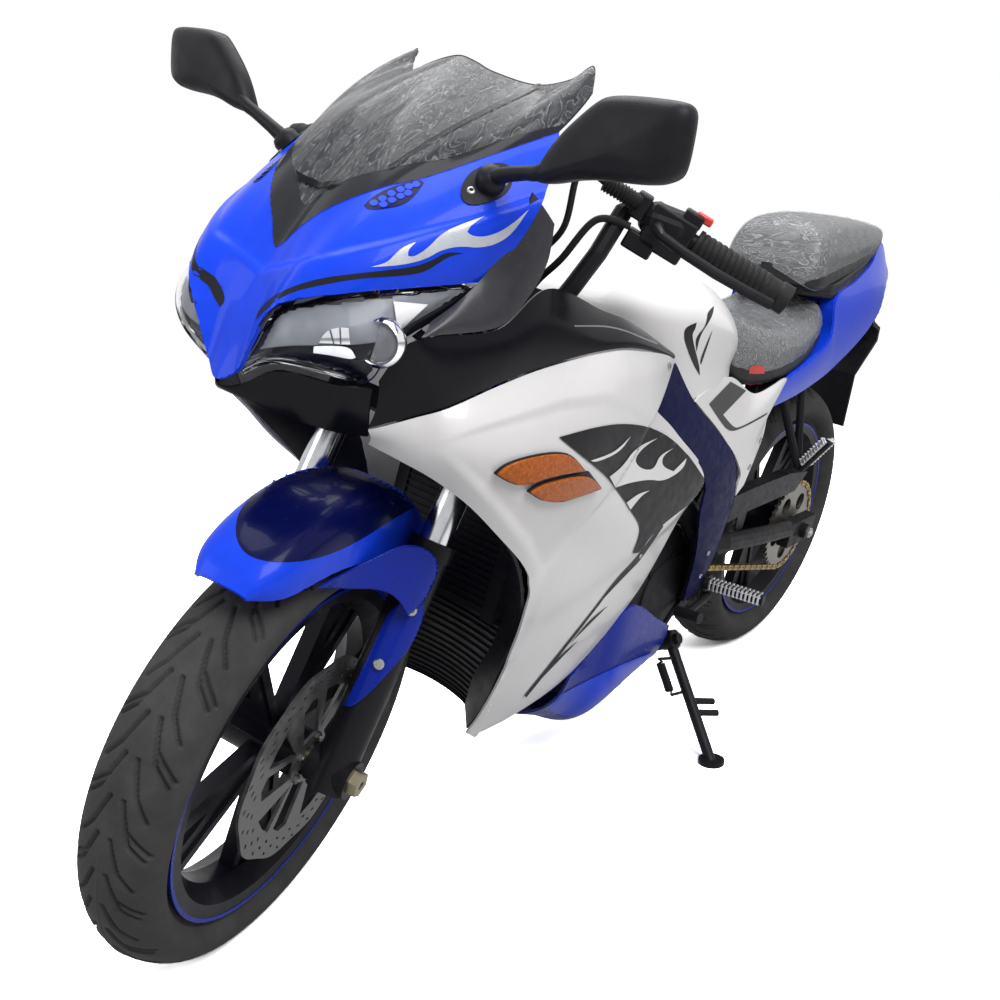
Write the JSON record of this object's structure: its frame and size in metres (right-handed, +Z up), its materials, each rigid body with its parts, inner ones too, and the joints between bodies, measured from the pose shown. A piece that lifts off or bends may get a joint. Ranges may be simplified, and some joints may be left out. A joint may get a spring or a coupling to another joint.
{
  "type": "sport motorcycle",
  "caption": "Full-fairing sport motorcycle parked on its side stand, with clip-on bars, cast wheels, disc brakes, chain drive and a stepped two-part seat.",
  "frame": {"origin": "centre of the parked bike's bounding box at floor level", "axes": "+Y towards the bike's tail, +X towards its left, the side it leans to, +Z up from the floor"},
  "size_m": [0.7944, 2.0538, 1.1618],
  "materials": {
    "frame_black": "satin",
    "engine_dark": "satin",
    "exhaust_steel": "satin",
    "chain_gold": "satin",
    "black_plastic": "matte",
    "gloss_black": "gloss",
    "grey_plastic": "satin",
    "pearl_white": "gloss",
    "blue_paint": "gloss",
    "dark_blue": "gloss",
    "red_lens": "gloss",
    "amber_lens": "gloss",
    "clear_lens": "gloss",
    "smoke_screen": "gloss",
    "reflector": "gloss",
    "seat_vinyl": "satin",
    "peg_alloy": "satin",
    "chrome_tube": "polished",
    "slider_black": "satin",
    "axle_brass": "satin",
    "grip_rubber": "matte",
    "tyre": "matte",
    "rim_black": "gloss",
    "disc_steel": "brushed",
    "sprocket_steel": "satin"
  },
  "bodies": {
    "chassis": {"main_frame": "frame_black", "subframe": "frame_black", "engine": "engine_dark", "radiator": "engine_dark", "exhaust": "exhaust_steel", "swingarm": "frame_black", "rear_shock": "frame_black", "drive_chain": "chain_gold", "chain_guard": "black_plastic", "fuel_tank": "pearl_white", "frame_covers": "dark_blue", "side_covers": "pearl_white", "tail_cowl": "blue_paint", "tail_light": "red_lens", "rear_fender": "black_plastic", "rider_seat": "seat_vinyl", "pillion_seat": "seat_vinyl", "upper_cowl": "blue_paint", "cowl_inserts": "grey_plastic", "lower_cowl": "gloss_black", "headlight_housing": "reflector", "headlight_lenses": "clear_lens", "windscreen": "smoke_screen", "cowl_stay": "frame_black", "instrument_cluster": "black_plastic", "side_fairings": "pearl_white", "turn_signals": "amber_lens", "belly_pan": "blue_paint", "inner_panels": "black_plastic", "mirrors": "black_plastic", "rider_pegs": "peg_alloy", "passenger_pegs": "peg_alloy", "foot_controls": "frame_black", "rear_caliper": "slider_black"},
    "steering": {"triple_clamps": "frame_black", "fork_tubes": "chrome_tube", "fork_sliders": "slider_black", "front_axle": "axle_brass", "clip_ons": "frame_black", "grips": "grip_rubber", "hand_controls": "black_plastic", "front_fender": "blue_paint", "front_caliper": "slider_black"},
    "front_wheel": {"front_tyre": "tyre", "front_rim": "rim_black", "front_disc": "disc_steel"},
    "rear_wheel": {"rear_tyre": "tyre", "rear_rim": "rim_black", "rear_sprocket": "sprocket_steel", "rear_disc": "disc_steel"},
    "side_stand": {"side_stand": "frame_black"}
  },
  "joints": [
    {"name": "steering", "type": "hinge", "parent": "chassis", "child": "steering", "pos_m": [-0.15316, -0.71264, 0.26849], "axis": [0.1764, 0.4351, 0.8829], "range_deg": [-45, 11]},
    {"name": "front_wheel_spin", "type": "hinge", "parent": "steering", "child": "front_wheel", "pos_m": [-0.1399, -0.74364, 0.28112], "axis": [0.9128, 0.2632, -0.3121], "continuous": true},
    {"name": "rear_wheel_spin", "type": "hinge", "parent": "chassis", "child": "rear_wheel", "pos_m": [-0.14498, 0.65486, 0.30942], "axis": [0.9806, 0, -0.1959], "continuous": true},
    {"name": "side_stand", "type": "hinge", "parent": "chassis", "child": "side_stand", "pos_m": [-0.03945, 0.10122, 0.18431], "axis": [0.9415, -0.0019, 0.3371], "range_deg": [0, 90]}
  ]
}
